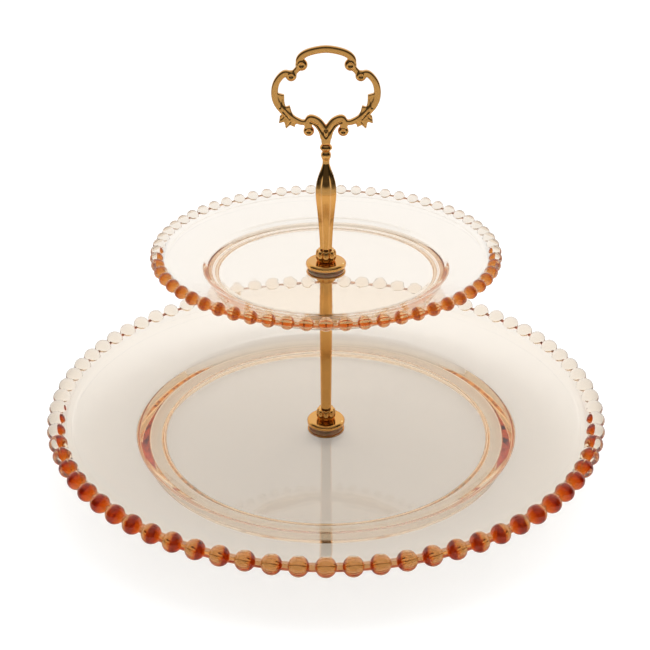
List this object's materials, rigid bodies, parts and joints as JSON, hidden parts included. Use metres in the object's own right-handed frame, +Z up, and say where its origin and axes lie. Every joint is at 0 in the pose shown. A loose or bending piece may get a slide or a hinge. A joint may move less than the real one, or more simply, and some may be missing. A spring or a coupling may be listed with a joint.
{
  "type": "tiered cake stand",
  "caption": "Tiered cake stand: beaded-rim glass plates threaded on a slim brass column with lobed ferrules, topped by a scrolled carrying ring that unscrews.",
  "frame": {"origin": "on the table, under the middle of the lower plate's foot ring", "axes": "+Z up along the column; the carrying ring lies in the XZ plane and faces -Y, the front, and +Y"},
  "size_m": [0.3306, 0.3306, 0.242],
  "materials": {
    "glass": "clear pressed glass tinted pale peach, fire polished, with a thin bright lustre",
    "brass": "polished yellow gold plating over a zinc casting",
    "steel": "bright zinc-plated threaded steel",
    "soft_plastic": "soft translucent vinyl, tinted a pale amber to go with the glass"
  },
  "bodies": {
    "base": {"base_screw": "steel", "lower_metal_washer": "brass", "lower_under_washer": "soft_plastic", "lower_sleeve": "soft_plastic", "lower_plate": "glass", "lower_top_washer": "soft_plastic", "lower_flange": "brass"},
    "column_lift": {"upper_metal_washer": "brass"},
    "column": {"column_hub": "brass", "column": "brass", "column_collar": "brass"},
    "upper_tier": {"upper_under_washer": "soft_plastic", "upper_sleeve": "soft_plastic", "upper_plate": "glass", "upper_top_washer": "soft_plastic", "upper_flange": "brass"},
    "handle_lift": {"handle_stud": "steel"},
    "handle": {"handle_hub": "brass", "handle_stem": "brass", "handle_ring": "brass"}
  },
  "joints": [
    {"name": "column_rise", "type": "slide", "parent": "base", "child": "column_lift", "axis": [0, 0, 1], "range_m": [0, 0.0065]},
    {"name": "column_unscrew", "type": "hinge", "parent": "column_lift", "child": "column", "pos_m": [0, 0, 0.02], "axis": [0, 0, 1], "range_deg": [0, 3345]},
    {"name": "upper_plate_swivel", "type": "hinge", "parent": "column", "child": "upper_tier", "pos_m": [0, 0, 0.114], "axis": [0, 0, 1], "continuous": true},
    {"name": "handle_rise", "type": "slide", "parent": "column", "child": "handle_lift", "axis": [0, 0, 1], "range_m": [0, 0.0065]},
    {"name": "handle_unscrew", "type": "hinge", "parent": "handle_lift", "child": "handle", "pos_m": [0, 0, 0.125], "axis": [0, 0, 1], "range_deg": [0, 3345]}
  ],
  "couplings": [
    {"joint": "column_unscrew", "follows": "column_rise", "rad_per_m": 8976},
    {"joint": "handle_unscrew", "follows": "handle_rise", "rad_per_m": 8976}
  ]
}
